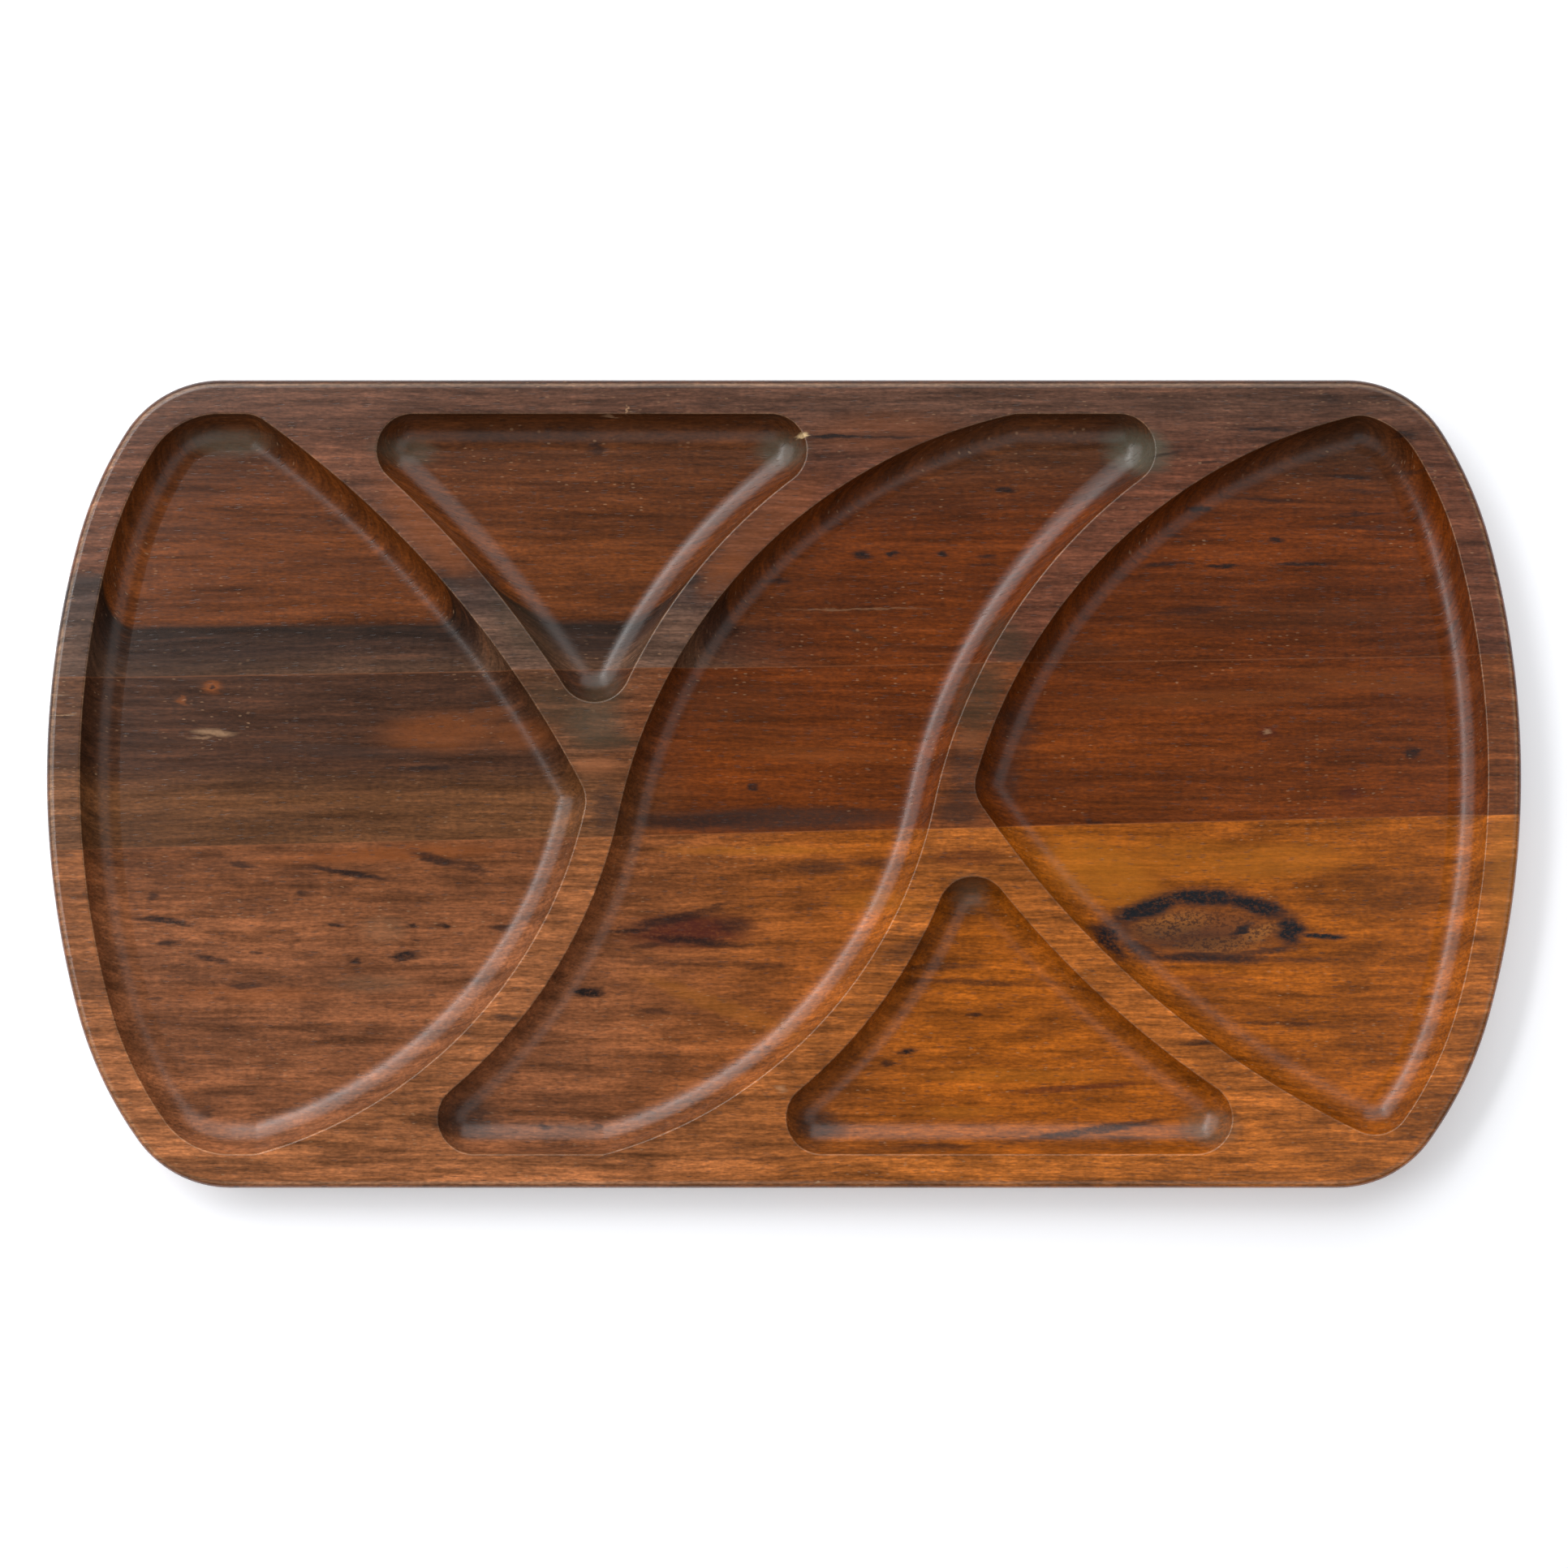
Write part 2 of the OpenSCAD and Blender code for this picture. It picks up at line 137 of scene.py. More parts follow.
def pocket_paths():
    """The line of the cutter's middle round each of the five pockets, anticlockwise."""
    rim = outline_loop(rim_off)
    back_y = BOARD_W / 2 - rim_off
    left_back, left_front = s_centres(S_LEFT_X)
    right_back, right_front = s_centres(S_RIGHT_X)
    # Radii of the path along the inner and the outer side of each bend
    left_in, left_out = LEFT_ARCH_R - divider_off, LEFT_ARCH_R + divider_off
    right_in, right_out = RIGHT_ARCH_R - divider_off, RIGHT_ARCH_R + divider_off
    back_in, back_out = S_BACK_R - divider_off, S_BACK_R + divider_off
    front_in, front_out = S_FRONT_R - divider_off, S_FRONT_R + divider_off

    tip = circles_meet(LEFT_ARCH, left_in, left_front, front_in, -1)
    back = circle_at_y(LEFT_ARCH, left_in, back_y, 1)
    front = circle_at_y(left_front, front_in, -back_y, 1)
    left = [(tip, back, LEFT_ARCH, 1), (back, rim[3][0], None, 0)] + rim[3:8]
    left += [(rim[7][1], front, None, 0), (front, tip, left_front, 1)]

    tip = circles_meet(LEFT_ARCH, left_out, left_back, back_out, 1)
    start = circle_at_y(left_back, back_out, back_y, -1)
    stop = circle_at_y(LEFT_ARCH, left_out, back_y, 1)
    behind = [(tip, start, left_back, -1), (start, stop, None, 0), (stop, tip, LEFT_ARCH, -1)]

    corners = [circle_at_y(right_back, back_out, back_y, -1),
               circle_at_y(left_back, back_in, back_y, -1),
               circle_at_y(left_front, front_out, -back_y, 1),
               circle_at_y(right_front, front_in, -back_y, 1)]
    left_change, right_change = s_bend(S_LEFT_X, -1), s_bend(S_RIGHT_X, 1)
    middle = [(corners[0], corners[1], None, 0), (corners[1], left_change, left_back, 1),
              (left_change, corners[2], left_front, -1), (corners[2], corners[3], None, 0),
              (corners[3], right_change, right_front, 1),
              (right_change, corners[0], right_back, -1)]

    tip = circles_meet(RIGHT_ARCH, right_in, right_back, back_in, -1)
    corner, shoulder = rim[1][2], rim[10][2]
    back = circles_meet(right_back, back_in, corner, CORNER_R - rim_off, -1)
    front = circles_meet(RIGHT_ARCH, right_in, shoulder, SHOULDER_R - rim_off, 1)
    right = [(tip, front, RIGHT_ARCH, 1), (front, rim[10][1], shoulder, 1), rim[11], rim[0],
             (rim[1][0], back, corner, 1), (back, tip, right_back, 1)]

    tip = circles_meet(RIGHT_ARCH, right_out, right_front, front_out, 1)
    start = circle_at_y(right_front, front_out, -back_y, 1)
    stop = circle_at_y(RIGHT_ARCH, right_out, -back_y, -1)
    before = [(tip, start, right_front, -1), (start, stop, None, 0), (stop, tip, RIGHT_ARCH, -1)]
    return [left, behind, middle, right, before]


def edge_points(edge, sideways):
    """Points along an edge, each with the direction that looks out of the loop, all but the last.
    They are spaced for a line that runs sideways from this one by that much."""
    p, q, c, bend = edge
    if c is None:
        length = hypot(q[0] - p[0], q[1] - p[1])
        out = ((q[1] - p[1]) / length, (p[0] - q[0]) / length)
        count = ceil(length / POINT_SPACING)
        return [((p[0] + (q[0] - p[0]) * i / count, p[1] + (q[1] - p[1]) * i / count), out)
                for i in range(count)]
    r = hypot(p[0] - c[0], p[1] - c[1])
    a = atan2(p[1] - c[1], p[0] - c[0])
    sweep = (bend * (atan2(q[1] - c[1], q[0] - c[0]) - a)) % (2 * pi)
    count = ceil(max(sweep * (r + sideways) / POINT_SPACING, sweep / ARC_STEP))
    found = []
    for i in range(count):
        b = a + bend * sweep * i / count
        found.append(((c[0] + r * cos(b), c[1] + r * sin(b)), (bend * cos(b), bend * sin(b))))
    return found


def loop_points(loop, sideways):
    """Points round a whole loop. Where two edges meet in a corner, the cutter turns on the spot."""
    found = []
    for edge, after in zip(loop, loop[1:] + loop[:1]):
        found += edge_points(edge, sideways)
        p, q, c, bend = edge
        r = hypot(q[0] - c[0], q[1] - c[1]) if c else 1
        out = (bend * (q[0] - c[0]) / r, bend * (q[1] - c[1]) / r) if c else found[-1][1]
        ahead = edge_points(after, sideways)[0][1]
        turn = (atan2(ahead[1], ahead[0]) - atan2(out[1], out[0]) + pi) % (2 * pi) - pi
        if turn > ARC_STEP:
            start, count = atan2(out[1], out[0]), ceil(turn / ARC_STEP)
            found += [(q, (cos(start + turn * i / count), sin(start + turn * i / count)))
                      for i in range(count)]
    return found


def in_scene(name, data):
    """Puts an object with this data into the scene."""
    made = bpy.data.objects.new(name, data)
    bpy.context.scene.collection.objects.link(made)
    return made


def lines_object(name, loops):
    """The loops as bare closed lines. Each point keeps the direction that looks out of its loop."""
    verts, edges, outward = [], [], []
    for points in loops:
        first = len(verts)
        verts += [(x * MM, y * MM, 0) for (x, y), _ in points]
        outward += [(x, y, 0) for _, (x, y) in points]
        edges += [(first + i, first + (i + 1) % len(points)) for i in range(len(points))]
    mesh = bpy.data.meshes.new(name)
    mesh.from_pydata(verts, edges, [])
    kept = mesh.attributes.new("outward", "FLOAT_VECTOR", "POINT")
    kept.data.foreach_set("vector", [value for vector in outward for value in vector])
    return in_scene(name, mesh)


def add(tree, kind, links=None, **settings):
    """Adds one node: its settings, then for each socket a value, an output or some outputs."""
    made = tree.nodes.new(kind)
    for name, value in settings.items():
        setattr(made, name, value)
    for name, value in (links or {}).items():
        for one in value if isinstance(value, list) else [value]:
            if isinstance(one, bpy.types.NodeSocket):
                tree.links.new(one, made.inputs[name])
            else:
                made.inputs[name].default_value = one
    return made


def scooping_tree():
    """Sweeps one cross-section round the board and another round each pocket, then fills in the
    level faces between them."""
    tree = bpy.data.node_groups.new("scooped board", "GeometryNodeTree")
    face = tree.interface
    face.new_socket("Geometry", in_out="OUTPUT", socket_type="NodeSocketGeometry")
    face.new_socket("Pocket Lines", in_out="INPUT", socket_type="NodeSocketGeometry")
    face.new_socket("Outline", in_out="INPUT", socket_type="NodeSocketObject")
    for name in ("Thickness", "Top Round", "Bottom Round", "Level Strip", "Floor Height",
                 "Cutter Radius", "Cutter Tip", "Cutter Height", "Cove Start", "Cove Sweep",
                 "Rim Ease", "Ease Reach", "Ease Start", "Ease Sweep"):
        face.new_socket(name, in_out="INPUT", socket_type="NodeSocketFloat")
    size = add(tree, "NodeGroupInput").outputs
    quarter = pi / 2

    def value(operation, a, b):
        return add(tree, "ShaderNodeMath", {0: a, 1: b}, operation=operation).outputs[0]

    def at(x, y):
        return add(tree, "ShaderNodeCombineXYZ", {"X": x, "Y": y}).outputs[0]

    def arc(radius, start, sweep, x, y, steps):
        made = add(tree, "GeometryNodeCurveArc", {"Resolution": steps, "Radius": radius,
                                                  "Start Angle": start, "Sweep Angle": sweep})
        return add(tree, "GeometryNodeTransform", {"Geometry": made.outputs["Curve"],
                                                   "Translation": at(x, y)}).outputs[0]

    def strip(start, end):
        return add(tree, "GeometryNodeCurvePrimitiveLine", {"Start": start, "End": end}).outputs[0]

    def lines(mesh):
        made = add(tree, "GeometryNodeMeshToCurve", {"Mesh": mesh}).outputs[0]
        here = add(tree, "GeometryNodeInputPosition").outputs[0]
        return add(tree, "GeometryNodeStoreNamedAttribute", {"Geometry": made, "Name": "place",
                                                             "Value": here},
                   data_type="FLOAT_VECTOR", domain="POINT").outputs[0]

    def named(name):
        return add(tree, "GeometryNodeInputNamedAttribute", {"Name": name},
                   data_type="FLOAT_VECTOR").outputs[0]

    def placed(geometry, reach, height):
        """Moves each point out from its own place on the line by reach, and up to height."""
        side = add(tree, "ShaderNodeVectorMath", {0: named("outward"), "Scale": reach},
                   operation="SCALE").outputs[0]
        up = add(tree, "ShaderNodeCombineXYZ", {"Z": height}).outputs[0]
        total = add(tree, "ShaderNodeVectorMath", {0: side, 1: up}, operation="ADD").outputs[0]
        total = add(tree, "ShaderNodeVectorMath", {0: total, 1: named("place")},
                    operation="ADD").outputs[0]
        return add(tree, "GeometryNodeSetPosition", {"Geometry": geometry,
                                                     "Position": total}).outputs[0]

    def swept(rail, parts):
        """The cross-section's parts carried round a line: x is the way out of it, y the height."""
        joined = add(tree, "GeometryNodeJoinGeometry", {"Geometry": parts}).outputs[0]
        here = add(tree, "GeometryNodeInputPosition").outputs[0]
        profile = add(tree, "GeometryNodeStoreNamedAttribute", {"Geometry": joined, "Name": "reach",
                                                                "Value": here},
                      data_type="FLOAT_VECTOR", domain="POINT").outputs[0]
        mesh = add(tree, "GeometryNodeCurveToMesh", {"Curve": rail,
                                                     "Profile Curve": profile}).outputs[0]
        split = add(tree, "ShaderNodeSeparateXYZ", {0: named("reach")}).outputs
        return placed(mesh, split[0], split[1])

    def closed(lines_in, height):
        """Fills between level lines. The fill comes out at height 0, so it is lifted."""
        made = add(tree, "GeometryNodeFillCurve", {"Curve": lines_in}).outputs[0]
        up = add(tree, "ShaderNodeCombineXYZ", {"Z": height}).outputs[0]
        return add(tree, "GeometryNodeTransform", {"Geometry": made, "Translation": up}).outputs[0]

    # A pocket, from the level top over the sanded rim, down the cove and onto the floor
    pockets = lines(size["Pocket Lines"])
    tip_in = value("SUBTRACT", size["Cutter Tip"], size["Level Strip"])
    rim_out = value("ADD", size["Ease Reach"], size["Level Strip"])
    ease_height = value("SUBTRACT", size["Thickness"], size["Rim Ease"])
    cove = arc(size["Cutter Radius"], size["Cove Start"], size["Cove Sweep"], 0.0,
               size["Cutter Height"], COVE_STEPS)
    ease = arc(size["Rim Ease"], size["Ease Start"], size["Ease Sweep"], size["Ease Reach"],
               ease_height, EASE_STEPS)
    pocket_sides = swept(pockets, [
        strip(at(tip_in, size["Floor Height"]), at(size["Cutter Tip"], size["Floor Height"])),
        cove, ease,
        strip(at(size["Ease Reach"], size["Thickness"]), at(rim_out, size["Thickness"]))])

    # The board's own edge, from the level top round the side to the level underside
    mesh = add(tree, "GeometryNodeObjectInfo", {"Object": size["Outline"]}).outputs["Geometry"]
    outline = lines(mesh)
    top_in = value("MULTIPLY", size["Top Round"], -1.0)
    bottom_in = value("MULTIPLY", size["Bottom Round"], -1.0)
    top_strip = value("SUBTRACT", top_in, size["Level Strip"])
    bottom_strip = value("SUBTRACT", bottom_in, size["Level Strip"])
    top_side = value("ADD", top_in, size["Thickness"])
    edge_sides = swept(outline, [
        strip(at(top_strip, size["Thickness"]), at(top_in, size["Thickness"])),
        arc(size["Top Round"], 0.0, quarter, top_in, top_side, TOP_STEPS),
        strip(at(0.0, top_side), at(0.0, size["Bottom Round"])),
        arc(size["Bottom Round"], -quarter, quarter, bottom_in, size["Bottom Round"],
            BOTTOM_STEPS),
        strip(at(bottom_in, 0.0), at(bottom_strip, 0.0))])

    # The level faces: the floors, the underside, and the top with its five openings
    floors = closed(placed(pockets, tip_in, 0.0), size["Floor Height"])
    underside = closed(placed(outline, bottom_strip, 0.0), 0.0)
    rims = add(tree, "GeometryNodeJoinGeometry", {"Geometry": [
        placed(outline, top_strip, 0.0), placed(pockets, rim_out, 0.0)]}).outputs[0]
    top = closed(rims, size["Thickness"])

    whole = add(tree, "GeometryNodeJoinGeometry", {"Geometry": [pocket_sides, edge_sides, floors,
                                                                underside, top]}).outputs[0]
    whole = add(tree, "GeometryNodeMergeByDistance", {"Geometry": whole,
                                                      "Distance": WELD}).outputs[0]
    whole = add(tree, "GeometryNodeSetShadeSmooth", {"Geometry": whole}).outputs[0]
    add(tree, "NodeGroupOutput", {"Geometry": whole})
    return tree


def scooped_board():
    """The whole board as one plain mesh, before it is parted into its staves."""
    ease_reach = rim_reach - LEVEL_STRIP
    ease_start = atan2(cutter_rise + RIM_EASE, -ease_reach)
    floor_z = THICKNESS - POCKET_DEPTH
    cove_start = asin(CUTTER_TIP / CUTTER_R)
    cove_end = atan2(ease_reach, cutter_rise + RIM_EASE)
    sizes = {"Thickness": THICKNESS, "Top Round": TOP_ROUND, "Bottom Round": BOTTOM_ROUND,
             "Level Strip": LEVEL_STRIP, "Floor Height": floor_z, "Cutter Radius": CUTTER_R,
             "Cutter Tip": CUTTER_TIP, "Cutter Height": THICKNESS + cutter_rise,
             "Rim Ease": RIM_EASE, "Ease Reach": ease_reach}
    angles = {"Cove Start": cove_start - pi / 2, "Cove Sweep": cove_end - cove_start,
              "Ease Start": ease_start, "Ease Sweep": pi / 2 - ease_start}
    outline = lines_object("outline", [loop_points(outline_loop(0), 0)])
    board = lines_object("board", [loop_points(path, cut_half) for path in pocket_paths()])
    modifier = board.modifiers.new("scooped board", "NODES")
    modifier.node_group = scooping_tree()
    for socket in modifier.node_group.interface.items_tree:
        if socket.name in sizes:
            modifier[socket.identifier] = sizes[socket.name] * MM
        elif socket.name in angles:
            modifier[socket.identifier] = angles[socket.name]
        elif socket.name == "Outline":
            modifier[socket.identifier] = outline
    seen = board.evaluated_get(bpy.context.evaluated_depsgraph_get())
    mesh = bpy.data.meshes.new_from_object(seen)
    for line in (board, outline):
        bpy.data.objects.remove(line)
    return mesh


# Back stave
# The widest strip of the glue-up: flat-sawn acacia heartwood, reddish brown, with a dark slanting
# layer that comes out near its glue line. It is planed, edge-glued, scooped, sanded and oiled.

# Each glue line: its place across the board at the middle in mm, and its slope in degrees
BACK_SEAM, FRONT_SEAM = (40, 0.92), (-16.4, 1.41)
# How far the layers waver along the grain, and the depth of the fine relief, in mm
LAYER_WAVER, RELIEF_DEPTH, RELIEF_STRENGTH = 9.0, 0.1, 0.35
# The hardened oil, a little rougher in the streaks and rougher again in the pores
OIL_IOR, OIL_ROUGHNESS, PORE_ROUGHNESS = 1.47, (0.25, 0.3), 0.04
# How far the level top goes toward its dry tone, and the sanded rims toward a pale one
# The level top's dry tone is partly drier wood and partly a painted sheen
# The pale rim is partly worn oil and partly a painted highlight on the eased edge
DRY_AND_SHEEN_TOP, WORN_AND_HIGHLIGHT_RIM = 0.24, 0.34
# A mark fades out at this many times its own length and width
MARK_REACH = 1.25
# Tones of the wood itself: the dark layers, the reddish brown ones, then those of the front stave
pitch, sable, walnut, cocoa, dusk = "#26160c", "#38241a", "#442818", "#4a2812", "#5a3e2c"
chestnut, russet, auburn, tawny = "#60300e", "#602a04", "#6a3006", "#643e22"
cinnamon, toffee, fawn, copper, honey = "#744426", "#7e4c2e", "#8e5634", "#98500e", "#a65a14"
# Tones of the marks: mineral streaks, knots, bark, scorched and paler wood; two shade marks are
# painted shade
ink, umber, shade, moss, smoke = "#1f1513", "#43240f", "#33251f", "#3d3426", "#565143"
straw, chip, ember, clay, wine = "#a98463", "#d9b98a", "#8a4a1e", "#a4653f", "#4a1c14"
gold, bark, rust, soot = "#b06818", "#7a4521", "#a0642e", "#17191e"

board_mesh = scooped_board()


def part_stave(name, above, below, wood):
    """Cuts the board along its glue lines and keeps what lies above one and below the other."""
    mesh = board_mesh.copy()
    work = bmesh.new()
    work.from_mesh(mesh)
    caps = []
    for seam, keep in ((above, 1), (below, -1)):
        if seam is None:
            continue
        y, tilt = seam[0] * MM, radians(seam[1])
        across = Vector((sin(tilt) * keep, -cos(tilt) * keep, 0))
        bmesh.ops.bisect_plane(work, geom=work.verts[:] + work.edges[:] + work.faces[:],
                               dist=CUT_SLACK, plane_co=(0, y, 0), plane_no=across,
                               clear_outer=True)
        rim = [edge for edge in work.edges if len(edge.link_faces) == 1]
        caps += bmesh.ops.holes_fill(work, edges=rim, sides=0)["faces"]
    for face in caps:
        face.smooth = False
        for edge in face.edges:
            edge.smooth = False
    bmesh.ops.recalc_face_normals(work, faces=work.faces[:])
    work.to_mesh(mesh)
    work.free()
    for layer in ("reach", "place", "outward"):
        mesh.attributes.remove(mesh.attributes[layer])
    mesh.name = name
    mesh.materials.clear()
    mesh.materials.append(wood)
    return in_scene(name, mesh)


def linear(code):
    """A colour written as sRGB hex, in the linear values that the nodes take."""
    values = [int(code[i:i + 2], 16) / 255 for i in (1, 3, 5)]
    return (*(v / 12.92 if v <= 0.04045 else ((v + 0.055) / 1.055) ** 2.4 for v in values), 1)


def empty_tree(owner):
    """The node tree of a material or a world, cleared."""
    owner.use_nodes = True
    owner.node_tree.nodes.clear()
    return owner.node_tree


def oiled_acacia(name, dip, left_layers, right_layers, change, marks, seams, dry_and_sheen_tone, figure,
                 offset):
    """Solid acacia, planed, scooped, sanded to about 180 grit and oiled: long streaks that follow
    the layers through the thickness, short dark pores, pale flecks and a soft satin sheen.

    Layers are (place across the board in mm at the top face, colour), and they slant by dip. The
    left table gives way to the right one between the two x of change. A mark is (x, y, half its
    length, half its width, tilt, strength). dry_and_sheen_tone is the colour of the drier top,
    partly a painted sheen; figure says how blotchy the wood is, and offset gives each stave its
    own noise."""
    material = bpy.data.materials.new(name)
    tree = empty_tree(material)

    def number(operation, a, b=0.0):
        return add(tree, "ShaderNodeMath", {0: a, 1: b}, operation=operation).outputs[0]

    def spread(value, low, high, out_low, out_high, smooth=True):
        return add(tree, "ShaderNodeMapRange", {"Value": value, "From Min": low, "From Max": high,
                                                "To Min": out_low, "To Max": out_high},
                   interpolation_type="SMOOTHSTEP" if smooth else "LINEAR").outputs[0]

    def noise(vector, size, detail, roughness, shift, output="Fac"):
        """Noise whose grains are about size mm long, wide and deep."""
        scaled = add(tree, "ShaderNodeMapping", {
            "Vector": vector, "Location": (shift, offset, shift),
            "Scale": tuple(1 / s for s in size)}).outputs[0]
        return add(tree, "ShaderNodeTexNoise", {"Vector": scaled, "Scale": 1.0, "Detail": detail,
                                                "Roughness": roughness}).outputs[output]

    def mix(factor, a, b):
        made = add(tree, "ShaderNodeMix", data_type="RGBA", clamp_factor=True)
        for socket, value in ((made.inputs[0], factor), (made.inputs[6], a), (made.inputs[7], b)):
            if isinstance(value, bpy.types.NodeSocket):
                tree.links.new(value, socket)
            else:
                socket.default_value = linear(value) if isinstance(value, str) else value
        return made.outputs[2]

    def ramp(value, stops):
        made = add(tree, "ShaderNodeValToRGB", {"Fac": value})
        band = made.color_ramp
        while len(band.elements) < len(stops):
            band.elements.new(0.5)
        for element, (place, colour) in zip(band.elements, sorted(stops)):
            element.position, element.color = place, linear(colour)
        return made.outputs["Color"]

    place = add(tree, "ShaderNodeTexCoord").outputs["Object"]
    place = add(tree, "ShaderNodeVectorMath", {0: place, "Scale": 1 / MM},
                operation="SCALE").outputs[0]
    x, y, z = add(tree, "ShaderNodeSeparateXYZ", {0: place}).outputs

    # The layers slant through the thickness and waver along the grain
    wave = noise(place, (140, 45, 60), 2, 0.5, 3.1)
    slant = number("MULTIPLY", number("SUBTRACT", float(THICKNESS), z), dip)
    waver = number("MULTIPLY", number("SUBTRACT", wave, 0.5), LAYER_WAVER)
    level = number("ADD", number("ADD", y, slant), waver)
    grain = add(tree, "ShaderNodeCombineXYZ", {"X": x, "Y": level, "Z": z}).outputs[0]
    low = min(p for p, _ in left_layers + right_layers)
    high = max(p for p, _ in left_layers + right_layers)
    across = spread(level, low, high, 0.0, 1.0, smooth=False)
    tones = [ramp(across, [((p - low) / (high - low), c) for p, c in layers])
             for layers in (left_layers, right_layers)]
    colour = mix(spread(x, change[0], change[1], 0.0, 1.0), *tones)

    # Broad bands, streaks about 2.6 mm high, fibres drawn at 0.9 mm to show, faint ray flecks that
    # stand across the grain, the grit of the sanded surface, and soft blotches
    bands = noise(grain, (120, 10, 26), 4, 0.55, 11.0)
    streaks = noise(grain, (42, 2.6, 9), 6, 0.6, 5.0)
    fibres = noise(grain, (11, 0.9, 3), 3, 0.6, 8.0)
    rays = noise(place, (1.3, 5.0, 6.0), 2, 0.5, 1.0)
    grit = noise(place, (2.2, 0.7, 1.0), 2, 0.6, 14.0)
    blotches = noise(grain, (17, 6.5, 12), 3, 0.6, 17.0)
    gain = spread(bands, 0.3, 0.7, 0.76, 1.24)
    gain = number("MULTIPLY", gain, spread(blotches, 0.32, 0.68, 1 - figure, 1 + figure))
    for pattern, swing in ((streaks, 0.28), (fibres, 0.24), (rays, 0.07), (grit, 0.34)):
        swung = spread(pattern, 0.3, 0.7, 1 - swing, 1 + swing, smooth=False)
        gain = number("MULTIPLY", gain, swung)
    colour = mix(spread(streaks, 0.52, 0.75, 0.0, 0.12), colour, ember)
    colour = mix(spread(streaks, 0.46, 0.28, 0.0, 0.25), colour, umber)

    # The sanded top holds less oil than the scooped parts: it looks drier and its grain stands out
    top = spread(z, THICKNESS - 0.9, THICKNESS - 0.2, 0.0, 1.0)
    # The dry tone is partly drier wood and partly a painted sheen on the level top
    colour = mix(number("MULTIPLY", top, DRY_AND_SHEEN_TOP), colour, dry_and_sheen_tone)
    # Along the sanded rims it is paler still: worn oil, and partly a painted highlight
    worn_and_highlight = number("MULTIPLY", spread(z, THICKNESS - 0.5, THICKNESS - 0.3, 0.0, WORN_AND_HIGHLIGHT_RIM),
                  spread(z, THICKNESS - 0.12, THICKNESS - 0.03, 1.0, 0.0))
    colour = mix(worn_and_highlight, colour, straw)
    both = number("ADD", number("MULTIPLY", streaks, 0.5), number("MULTIPLY", fibres, 0.5))
    drawn = spread(both, 0.36, 0.64, -0.17, 0.17, smooth=False)
    gain = number("MULTIPLY", gain, number("ADD", number("MULTIPLY", drawn, top), 1.0))
    colour = add(tree, "ShaderNodeVectorMath", {0: colour, "Scale": gain},
                 operation="SCALE").outputs[0]

    # Marks at listed places, with ragged ends
    ragged = noise(place, (9, 2.2, 9), 4, 0.6, 2.0, "Color")
    ragged = add(tree, "ShaderNodeVectorMath", {0: ragged, 1: (0.5, 0.5, 0.5)},
                 operation="SUBTRACT").outputs[0]
    ragged = add(tree, "ShaderNodeVectorMath", {0: ragged, 1: (9.0, 3.2, 0.0)},
                 operation="MULTIPLY").outputs[0]
    flat = add(tree, "ShaderNodeCombineXYZ", {"X": x, "Y": y}).outputs[0]
    flat = add(tree, "ShaderNodeVectorMath", {0: flat, 1: ragged}, operation="ADD").outputs[0]
    speckle = noise(place, (1.4, 0.9, 1.2), 3, 0.7, 6.0)
    for tone, places in marks.items():
        cover = 0.0
        for mark_x, mark_y, half_l, half_w, tilt, strength in places:
            inside = add(tree, "ShaderNodeMapping", {
                "Vector": flat, "Location": (mark_x, mark_y, 0), "Rotation": (0, 0, radians(tilt)),
                "Scale": (MARK_REACH * half_l, MARK_REACH * half_w, 1)},
                         vector_type="TEXTURE").outputs[0]
            near = add(tree, "ShaderNodeTexGradient", {"Vector": inside},
                       gradient_type="SPHERICAL").outputs["Fac"]
            cover = number("MAXIMUM", cover, spread(near, 0.0, 0.7, 0.0, strength))
        cover = number("MULTIPLY", cover, spread(speckle, 0.3, 0.6, 0.75, 1.1))
        if tone in (bark, rust):
            # Bark is crumbly: its dark grains show through it
            tone = mix(spread(speckle, 0.4, 0.55, 0.8, 0.0), tone, soot)
        colour = mix(cover, colour, tone)

    # Pores: dark dashes about 4 mm long, and paler filled ones that come in patches
    def dashes(size, shift, share, reach):
        scaled = add(tree, "ShaderNodeMapping", {
            "Vector": grain, "Location": (shift, offset, 0),
            "Scale": tuple(1 / s for s in size)}).outputs[0]
        cell = add(tree, "ShaderNodeTexVoronoi", {"Vector": scaled, "Scale": 1.0,
                                                  "Randomness": 1.0})
        chosen = add(tree, "ShaderNodeSeparateColor", {0: cell.outputs["Color"]}).outputs[0]
        here = spread(cell.outputs["Distance"], reach, reach * 0.5, 0.0, 1.0)
        return number("MULTIPLY", here, number("GREATER_THAN", chosen, 1 - share))

    pores = dashes((5.0, 0.9, 2.5), 4.0, 0.45, 0.3)
    patches = spread(noise(place, (45, 16, 30), 2, 0.5, 7.0), 0.45, 0.65, 0.1, 0.8)
    pale = number("MULTIPLY", dashes((3.2, 0.9, 2.0), 9.0, 0.3, 0.26), patches)
    colour = mix(number("MULTIPLY", pores, 0.4), colour, ink)
    colour = mix(number("MULTIPLY", pale, 0.6), colour, straw)

    # A hairline of glue along each seam
    for seam_y, tilt in seams:
        seam = number("ADD", number("MULTIPLY", x, tan(radians(tilt))), seam_y)
        near = spread(number("ABSOLUTE", number("SUBTRACT", y, seam)), 0.1, 0.35, 0.22, 0.0)
        colour = mix(near, colour, clay)

